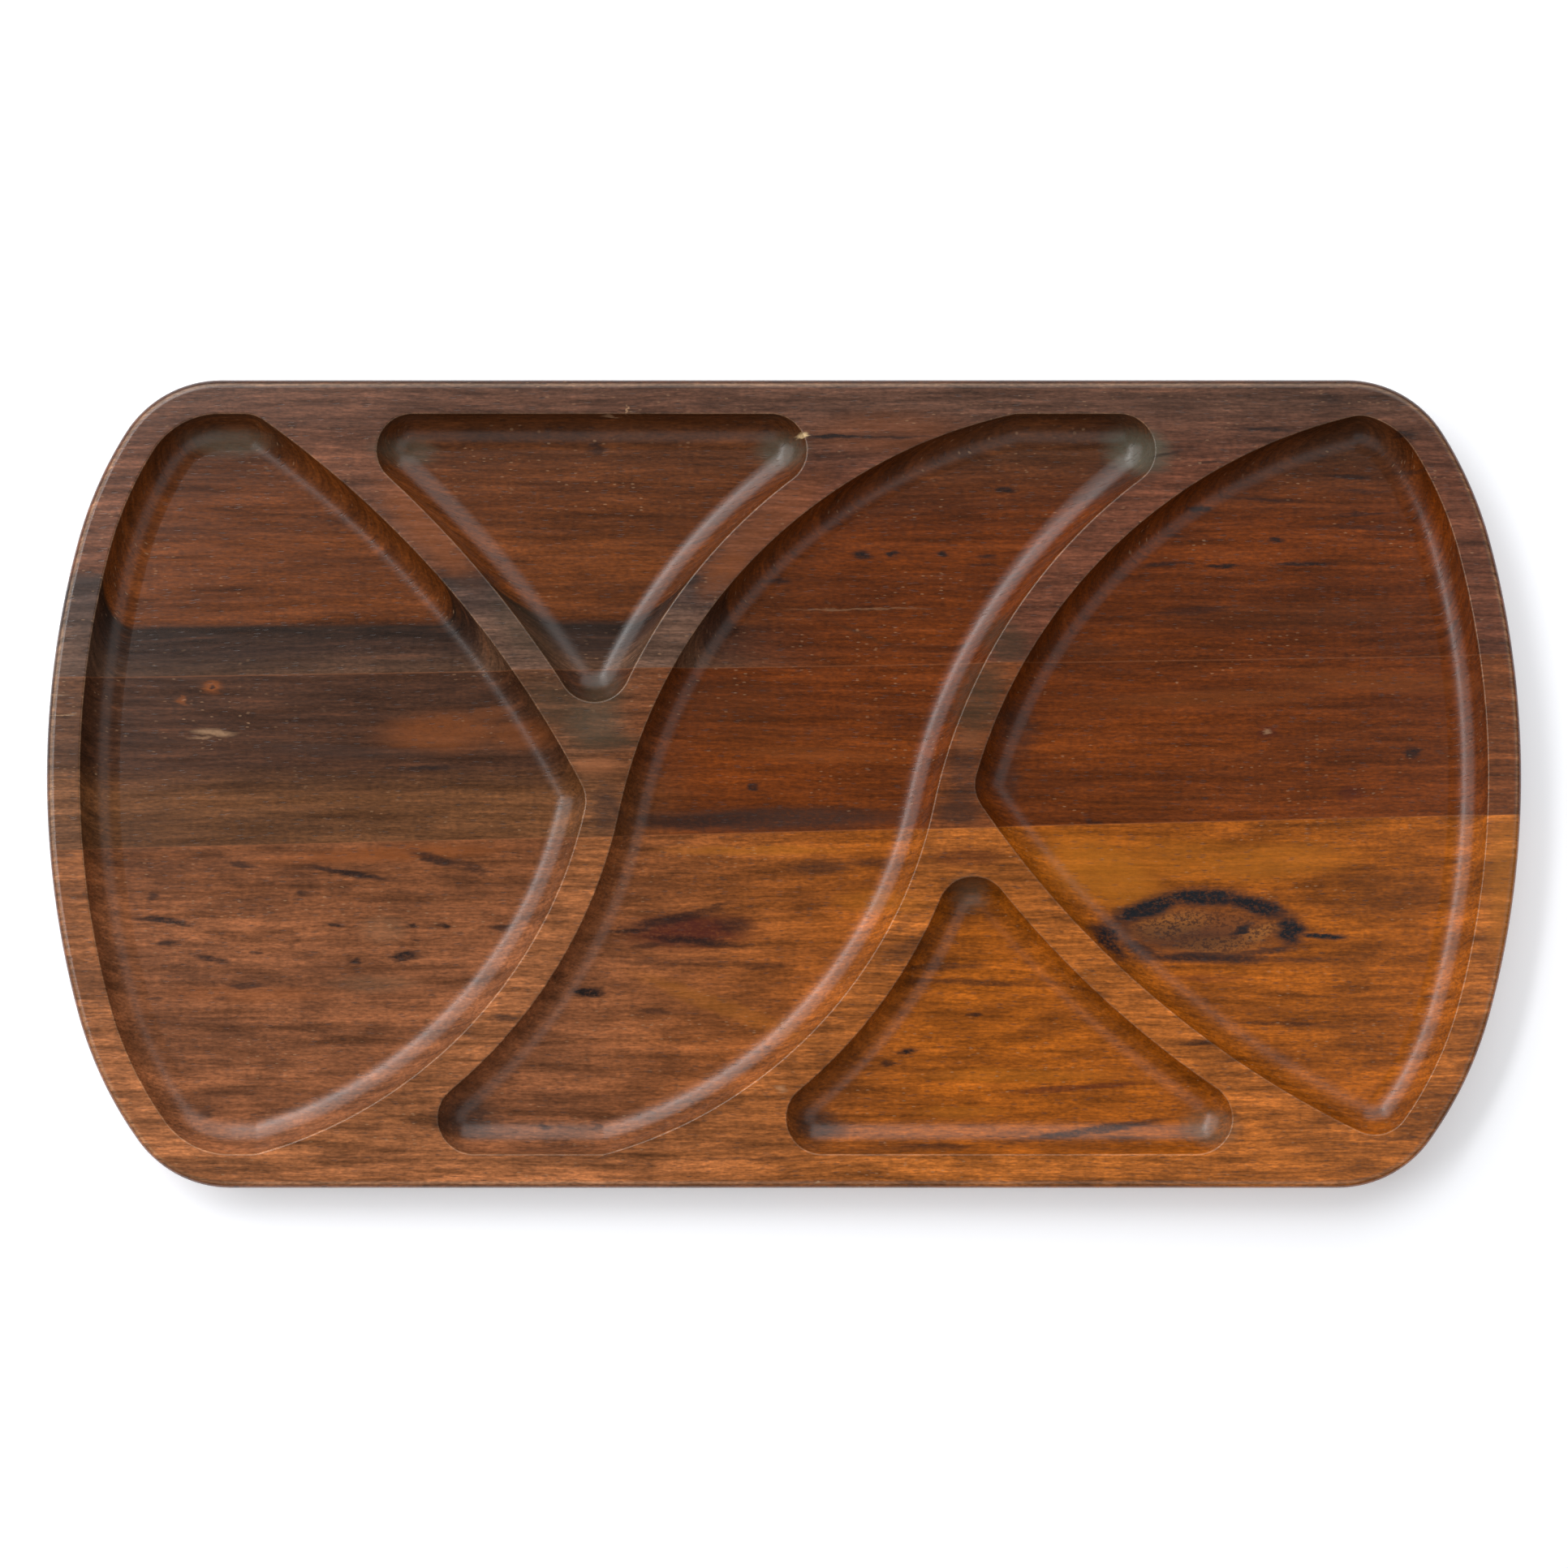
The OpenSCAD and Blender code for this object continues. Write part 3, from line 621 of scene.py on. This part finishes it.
    rough = number("ADD", spread(streaks, 0.3, 0.7, *OIL_ROUGHNESS),
                   number("MULTIPLY", pores, PORE_ROUGHNESS))
    height = number("SUBTRACT", number("MULTIPLY", fibres, 0.35), number("MULTIPLY", pores, 0.8))
    bump = add(tree, "ShaderNodeBump", {"Height": height, "Strength": RELIEF_STRENGTH,
                                        "Distance": RELIEF_DEPTH * MM})
    shader = add(tree, "ShaderNodeBsdfPrincipled", {"Base Color": colour, "Roughness": rough,
                                                    "IOR": OIL_IOR, "Normal": bump.outputs[0]})
    add(tree, "ShaderNodeOutputMaterial", {"Surface": shader.outputs[0]})
    return material


BACK_LAYERS = [(30, dusk), (52, dusk), (61, sable), (69.5, pitch), (71.5, chestnut),
               (112, chestnut), (136, cocoa)]
BACK_RIGHT_LAYERS = [(30, russet), (104, russet), (128, cocoa)]
BACK_MARKS = {
    ember: [(-121, 86, 26.0, 6.5, -47, 0.42), (-5, 88, 28.0, 6.5, 42, 0.28),
            (-20, 72, 13.0, 6.0, 45, 0.40), (35, 119, 28.0, 8.0, 0, 0.25)],
    umber: [(176, 57.9, 52.7, 5.5, 2, 0.35), (101, 45.9, 16.6, 3.3, 0, 0.35),
            (28, 50.7, 15.2, 0.8, -22, 0.55), (87, 90.3, 13.9, 0.8, 0, 0.35)],
    # The shade marks at x -235 and -234 darken the rim and cove along the left pocket's left side:
    # painted shade
    shade: [(113, 104.2, 16.6, 7.8, 25, 0.50), (-235, 69.6, 7.1, 2.7, 5, 0.55),
            (-104, 69.4, 8.8, 3.3, 0, 0.50), (-68, 48.7, 16.6, 7.2, 0, 0.35),
            (-234, 45.9, 8.3, 16.6, 0, 0.30)],
    moss: [(75, 48.2, 11.0, 8.2, -60, 0.50), (-89, 53.7, 16.5, 7.1, -45, 0.35)],
    smoke: [(-129, 113.6, 11.6, 5.5, 0, 0.50), (-1, 113.6, 9.4, 6.7, 0, 0.60),
            (120, 113.3, 12.2, 8.3, -20, 0.85), (-189, 116.6, 16.6, 5.0, 0, 0.50)],
    ink: [(194, 104.7, 8.3, 1.0, -2, 0.75), (197, 100.0, 12.8, 0.8, 0, 0.60),
          (164, 97.2, 16.6, 0.8, -3, 0.60), (143, 93.9, 5.0, 1.1, 0, 0.80),
          (198, 92.2, 11.1, 0.8, 2, 0.65), (197, 87.8, 20.8, 1.0, -2, 0.45),
          (133, 84.5, 4.2, 0.8, 0, 0.60), (168, 83.4, 2.5, 1.0, 0, 0.85),
          (130, 75.1, 10.0, 1.1, 4, 0.75), (150, 74.5, 6.9, 0.8, 0, 0.85),
          (177, 75.1, 11.6, 1.0, 0, 0.85), (140, 59.3, 15.2, 1.4, 3, 0.45),
          (163, 119.6, 11.5, 0.8, -2, 0.75), (211, 118.2, 4.4, 1.1, 0, 0.80),
          (130, 111.4, 7.1, 0.7, 8, 0.55), (144, 108.6, 8.2, 0.7, 8, 0.50),
          (185, 130.3, 4.1, 2.2, 0, 0.40), (214, 105.9, 5.5, 0.7, 0, 0.45),
          (76, 100.8, 4.7, 1.1, 0, 0.85), (27, 78.4, 3.9, 1.4, -8, 0.90),
          (37, 78.7, 1.9, 1.4, 0, 0.90), (54, 78.7, 2.5, 1.4, 0, 0.90),
          (69, 77.6, 4.2, 1.1, 0, 0.75), (68, 74.8, 7.2, 0.7, 0, 0.50),
          (-3, 69.2, 5.3, 1.0, 0, 0.75), (-64, 114.7, 3.0, 2.8, 0, 0.65),
          (31, 117.4, 25.3, 0.5, 0, 0.75), (30, 117.7, 20.6, 1.6, 0, 0.35),
          (17, 117.6, 14.0, 0.7, 0, 0.95)],
    straw: [(26, 59.8, 25.0, 0.4, 0, 0.25), (-59, 124.8, 2.7, 0.3, -4, 0.70),
            (-53, 126.5, 0.4, 1.9, 0, 0.70)],
    chip: [(6, 118.0, 2.2, 0.8, 8, 1.00)],
}
stave_back = part_stave("back_stave", BACK_SEAM, None, oiled_acacia(
    "oiled acacia, reddish heartwood", dip=1.6, left_layers=BACK_LAYERS,
    right_layers=BACK_RIGHT_LAYERS, change=(-40, 30), marks=BACK_MARKS, seams=[BACK_SEAM],
    dry_and_sheen_tone="#6c5850", figure=0.1, offset=20.0))
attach(stave_back, "root")
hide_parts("stave_back")


# Middle stave
# The narrow strip between the glue lines: dark heartwood on the left with an orange lens and a
# small knot, clearer brown on the right. The same acacia, finished with the rest of the board.
MIDDLE_LAYERS = [(-22, tawny), (2, tawny), (12, walnut), (60, walnut)]
MIDDLE_RIGHT_LAYERS = [(-22, auburn), (20, auburn), (34, russet), (60, russet)]
MIDDLE_MARKS = {
    ember: [(-117, 17.7, 23.3, 7.5, 3, 0.50), (-101, 23.8, 11.1, 2.8, 8, 0.30),
            (-90, 16.8, 13.9, 6.1, 0, 0.40), (-195, 33.2, 3.9, 2.5, 0, 0.80),
            (-206, 29.0, 1.9, 1.7, 0, 0.60), (204, 34.9, 44.4, 3.9, -3, 0.30),
            (148, 29.3, 47.1, 3.3, 2, 0.30), (12, 9.9, 30.5, 2.8, -2, 0.30)],
    umber: [(143, -5.4, 41.6, 3.9, 2, 0.20), (-18, 28, 26.0, 9.0, 0, 0.38),
            (-4, 15, 30.0, 7.0, 0, 0.25)],
    smoke: [(-64, 21, 11.0, 8.0, 0, 0.40)],
    shade: [(-151, 11.3, 36.0, 2.8, -3, 0.45), (-60, -8.9, 5.5, 9.1, 0, 0.60),
            (61, 1.6, 7.1, 12.6, 0, 0.55), (59, -9.4, 8.8, 4.9, 0, 0.60),
            (-3, -12.0, 52.7, 4.7, 1, 0.75), (79, 18.2, 8.3, 11.1, 0, 0.45),
            (76, 1.6, 5.5, 8.3, 0, 0.50)],
    moss: [(-60, 14.5, 13.7, 3.8, 0, 0.60), (-76, 26.3, 13.7, 8.2, -35, 0.40),
           (66, 29.0, 9.3, 16.5, -14, 0.55), (-61, 32.1, 8.3, 8.3, 0, 0.60)],
    clay: [(-64, 6.0, 9.3, 3.6, 2, 0.40), (63, 13.9, 6.0, 4.4, 0, 0.20)],
    wine: [(194, -3.4, 4.7, 3.0, 0, 0.45), (165, 17.7, 3.9, 2.2, 0, 0.45)],
    ink: [(-121, 5.5, 10.0, 1.2, 4, 0.75), (-195, 33.2, 1.4, 0.8, 0, 0.80),
          (-32, -12.8, 25.0, 3.3, 0, 0.45), (-10, -1.2, 2.2, 1.4, 0, 0.80),
          (215, 10.7, 3.6, 2.2, 0, 0.85), (105, -13.1, 3.9, 1.1, 0, 0.60)],
    straw: [(-194, 17.7, 7.8, 1.4, -4, 0.60), (-199, 16.0, 3.9, 0.6, 0, 0.40),
            (165, 17.7, 1.7, 0.8, 0, 0.50), (-244, 23.5, 5.5, 0.4, 3, 0.70),
            (-244, 30.1, 3.8, 0.3, 0, 0.50)],
}
stave_middle = part_stave("middle_stave", FRONT_SEAM, BACK_SEAM, oiled_acacia(
    "oiled acacia, dark heartwood", dip=0.6, left_layers=MIDDLE_LAYERS,
    right_layers=MIDDLE_RIGHT_LAYERS, change=(-75, -20), marks=MIDDLE_MARKS,
    seams=[BACK_SEAM, FRONT_SEAM], dry_and_sheen_tone="#875a3c", figure=0.08, offset=50.0))
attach(stave_middle, "root")
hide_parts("stave_middle")


# Front stave
# The palest strip: orange-brown acacia nearer the sapwood, with many small mineral flecks, a
# reddish knot in the middle pocket and an inclusion of bark in the right-hand pocket.
FRONT_LAYERS = [(-140, fawn), (-118, toffee), (-56, toffee), (-26, cinnamon)]
FRONT_RIGHT_LAYERS = [(-140, honey), (-118, copper), (-6, copper)]
FRONT_MARKS = {
    gold: [(-21, -76.1, 33.3, 3.3, -20, 0.30), (32, -40.0, 16.6, 4.4, 0, 0.30),
           (-10, -22.8, 33.3, 1.9, 0, 0.40), (109, -30.3, 25.0, 12.2, -20, 0.60),
           (165, -26.7, 33.3, 7.2, 4, 0.45), (132, -26.1, 33.3, 8.3, 0, 0.35),
           (79, -99.6, 36.0, 2.8, 0, 0.30), (60, -112.1, 16.6, 2.2, 0, 0.30),
           (245, -34, 9.0, 30.0, 0, 0.45)],
    ember: [(-135, -23.8, 44.0, 3.0, 3, 0.60), (-184, -71.9, 33.3, 3.3, 0, 0.35),
            (-35, -50.5, 16.6, 0.8, -4, 0.70), (-26, -46.9, 7.2, 0.8, 12, 0.60)],
    umber: [(207, -38, 22.0, 8.0, 0, 0.28), (-20, -80, 36.0, 12.0, 0, 0.22),
            (-245, -38, 9.0, 26.0, 0, 0.30), (-73, -25.9, 3.8, 5.5, 0, 0.30),
            (-216, -42.4, 8.2, 1.1, 0, 0.30), (224, -72.6, 8.2, 1.1, 0, 0.30),
            (37, -124.7, 24.7, 1.1, 0, 0.30)],
    shade: [(-95, -79.1, 5.5, 1.4, 0, 0.60), (12, -28.4, 12.2, 3.3, 4, 0.45),
            (-108, -113.5, 11.1, 7.2, 0, 0.75), (11, -116.3, 9.4, 6.1, 0, 0.70),
            (43, -55.3, 16.6, 3.9, 30, 0.35)],
    smoke: [(145, -116.5, 10.0, 6.7, 0, 0.50), (63, -37.2, 7.2, 7.2, 0, 0.50)],
    wine: [(-33, -50.3, 24.4, 6.7, 2, 0.85), (144, -66.4, 16.6, 1.4, 0, 0.45),
           (100, -103.8, 26.3, 1.1, 4, 0.60), (62, -24.5, 13.7, 3.8, 0, 0.35)],
    bark: [(142, -50.0, 33.8, 10.0, 0, 0.92)],
    rust: [(132, -48.3, 13.9, 5.0, 10, 0.60), (162, -51.1, 8.3, 2.8, 20, 0.70),
           (148, -55.3, 16.6, 3.3, 0, 0.50)],
    ink: [(-184, -27.8, 5.0, 1.0, -4, 0.70), (-148, -30.6, 17.2, 1.2, -9, 0.85),
          (-119, -25.6, 10.0, 1.9, -14, 0.75), (-107, -28.4, 8.3, 1.7, -18, 0.60),
          (-164, -37.2, 2.8, 1.1, 0, 0.65), (-216, -38.3, 2.5, 1.9, 0, 0.65),
          (-211, -46.9, 11.6, 1.2, -7, 0.85), (-211, -54.2, 4.4, 1.4, 0, 0.75),
          (-195, -60.0, 7.5, 1.5, -6, 0.80), (-181, -57.5, 2.5, 1.0, 0, 0.70),
          (-153, -48.1, 3.3, 1.0, 0, 0.80), (-146, -60.8, 2.5, 1.2, 0, 0.85),
          (-129, -58.9, 5.8, 1.7, 4, 0.90), (-127, -48.3, 1.9, 1.1, 0, 0.80),
          (-116, -48.3, 2.8, 1.0, 0, 0.80), (-125, -53.6, 2.2, 0.7, 0, 0.70),
          (-96, -48.9, 5.5, 1.7, 0, 0.65), (-183, -68.8, 8.3, 1.1, 0, 0.60),
          (-192, -73.3, 3.6, 1.1, 0, 0.50), (-215, -73.3, 2.8, 0.8, 0, 0.50),
          (-198, -112.7, 3.9, 2.2, 0, 0.50), (-172, -111.5, 11.1, 1.1, 6, 0.45),
          (-67, -71.1, 6.7, 1.9, 0, 0.95), (-43, -77.7, 7.2, 1.1, 0, 0.50),
          (-82, -116.8, 1.9, 1.7, 0, 0.70), (-64, -116.8, 1.9, 1.7, 0, 0.60),
          (-76, -65.0, 2.2, 1.7, 0, 0.50), (-38, -46.1, 16.6, 1.9, 10, 0.70),
          (-29, -53.9, 19.4, 1.7, -6, 0.75), (-53, -50.0, 8.3, 1.1, 4, 0.80),
          (-17, -48.3, 7.8, 3.3, -8, 0.60), (-24, -42.2, 8.3, 1.4, 16, 0.60),
          (-46, -55.3, 7.2, 1.4, 10, 0.50), (-35, -60.8, 25.0, 1.7, 0, 0.40),
          (30, -26.7, 8.3, 1.9, 0, 0.45), (-7, -62.2, 11.1, 1.4, 0, 0.40),
          (170, -81.9, 20.8, 1.1, -2, 0.55), (98, -69.1, 13.9, 1.1, -12, 0.40),
          (53, -62.2, 19.4, 1.4, 2, 0.60), (64, -67.7, 25.0, 1.4, -2, 0.60),
          (42, -91.3, 4.4, 1.7, 4, 0.90), (65, -78.8, 2.8, 1.1, 0, 0.70),
          (35, -95.7, 2.8, 1.4, 0, 0.70), (107, -117.9, 31.1, 1.4, 8, 0.80),
          (51, -123.2, 15.2, 1.1, 0, 0.60), (139, -87.6, 8.8, 1.1, 0, 0.60),
          (152, -93.4, 6.0, 0.8, 0, 0.50), (206, -119.8, 18.1, 0.8, 0, 0.45),
          (-11, -126.9, 34.3, 0.5, 0, 0.40), (40, -47.8, 9.3, 1.9, 40, 0.35)],
    straw: [(-137, -49.7, 8.9, 5.5, 0, 0.12), (-140, -68.3, 16.6, 3.3, 0, 0.12),
            (-1, -103.0, 2.5, 1.4, 0, 0.50), (11, -134.9, 0.7, 0.7, 0, 0.90)],
    soot: [(124, -42.6, 17.0, 4.0, 18, 0.97), (143, -38.6, 19.0, 4.0, 0, 0.97),
           (161, -41.6, 14.5, 4.0, -16, 0.95), (173, -50.0, 6.0, 6.5, 0, 0.97),
           (185, -51.9, 10.0, 1.3, -2, 0.95), (156, -50.0, 3.6, 1.9, 30, 0.90),
           (110, -51.1, 6.7, 3.6, -25, 0.90), (110.5, -54, 10.5, 3.4, -40, 0.90),
           (121, -56.1, 9.4, 2.5, -22, 0.75), (143, -59.5, 29.0, 2.4, 0, 0.80),
           (165, -57.2, 13.9, 1.7, 8, 0.70), (176, -60.3, 13.9, 1.1, 0, 0.40),
           (135, -52.5, 26.0, 5.5, -3, 0.45), (114, -49.5, 9.0, 5.0, -30, 0.60)],
}
stave_front = part_stave("front_stave", None, FRONT_SEAM, oiled_acacia(
    "oiled acacia, orange heartwood", dip=0.4, left_layers=FRONT_LAYERS,
    right_layers=FRONT_RIGHT_LAYERS, change=(-90, 70), marks=FRONT_MARKS, seams=[FRONT_SEAM],
    dry_and_sheen_tone="#b2703f", figure=0.24, offset=80.0))
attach(stave_front, "root")
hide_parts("stave_front")
bpy.data.meshes.remove(board_mesh)


# Floor, light and camera
# A plain white table. The tray lies flat on it and is seen from straight above. A broad soft box
# stands behind it, a narrow bright one and a broad low one behind it on the left, and two weak
# ones in front and on the right.

# Half the table's width and the camera's height are in metres, and the lens is in millimetres
FLOOR_HALF = 0.7
CAMERA_HEIGHT, CAMERA_LENS = 1.01, 67.2
TABLE_GLOW, ROOM_LIGHT = 0.27, 0.07

work = bmesh.new()
bmesh.ops.create_grid(work, x_segments=1, y_segments=1, size=FLOOR_HALF)
floor_mesh = bpy.data.meshes.new("floor")
work.to_mesh(floor_mesh)
work.free()
floor = in_scene("floor", floor_mesh)
white_table = bpy.data.materials.new("matt white table")
tree = empty_tree(white_table)
matt = add(tree, "ShaderNodeBsdfDiffuse", {"Color": linear("#f8faff")})
# Seen directly or in a reflection the table comes out white, and its shadow stays
path = add(tree, "ShaderNodeLightPath").outputs
seen = add(tree, "ShaderNodeMath", {0: path["Is Camera Ray"], 1: path["Is Glossy Ray"]},
           operation="MAXIMUM")
seen = add(tree, "ShaderNodeMath", {0: seen.outputs[0], 1: path["Is Transmission Ray"]},
           operation="MAXIMUM")
lift = add(tree, "ShaderNodeMath", {0: seen.outputs[0], 1: TABLE_GLOW}, operation="MULTIPLY")
glow = add(tree, "ShaderNodeEmission", {"Strength": lift.outputs[0]})
both = add(tree, "ShaderNodeAddShader", {0: matt.outputs[0], 1: glow.outputs[0]})
add(tree, "ShaderNodeOutputMaterial", {"Surface": both.outputs[0]})
floor_mesh.materials.append(white_table)

world = bpy.data.worlds.new("studio")
bpy.context.scene.world = world
tree = empty_tree(world)
path = add(tree, "ShaderNodeLightPath").outputs
room = add(tree, "ShaderNodeBackground", {"Color": linear("#ffffff"), "Strength": ROOM_LIGHT})
backdrop = add(tree, "ShaderNodeBackground", {"Color": linear("#ffffff"), "Strength": 1.0})
either = add(tree, "ShaderNodeMixShader", {0: path["Is Camera Ray"], 1: room.outputs[0],
                                           2: backdrop.outputs[0]})
add(tree, "ShaderNodeOutputWorld", {"Surface": either.outputs[0]})

# Soft boxes: bearing from the right, anticlockwise, tilt from the vertical, width, height, watts.
# All stand this far from the middle of the board, in metres
SOFT_BOX_DISTANCE = 1.5
for name, bearing, tilt, width, height, watts in (
        ("soft box back left", 160, 36, 1.4, 0.22, 8.5),
        ("soft box low left", 152, 58, 2.0, 0.9, 11.0),
        ("soft box back", 90, 45, 2.2, 1.4, 16.5),
        ("soft box front", 275, 42, 1.2, 0.9, 2.5),
        ("soft box right", 345, 39, 1.2, 0.9, 2.4)):
    light = bpy.data.lights.new(name, "AREA")
    light.shape, light.size, light.size_y, light.energy = "RECTANGLE", width, height, watts
    a, t = radians(bearing), radians(tilt)
    where = Vector((sin(t) * cos(a), sin(t) * sin(a), cos(t))) * SOFT_BOX_DISTANCE
    box = in_scene(name, light)
    box.location = where
    box.rotation_euler = (-where).to_track_quat("-Z", "Y").to_euler()

# Straight above the middle of the board, 0.99 m over its top face
camera_data = bpy.data.cameras.new("camera")
camera_data.lens = CAMERA_LENS
camera = in_scene("camera", camera_data)
camera.location = (0, 0, CAMERA_HEIGHT)
bpy.context.scene.camera = camera
bpy.context.scene.view_settings.view_transform = "Standard"
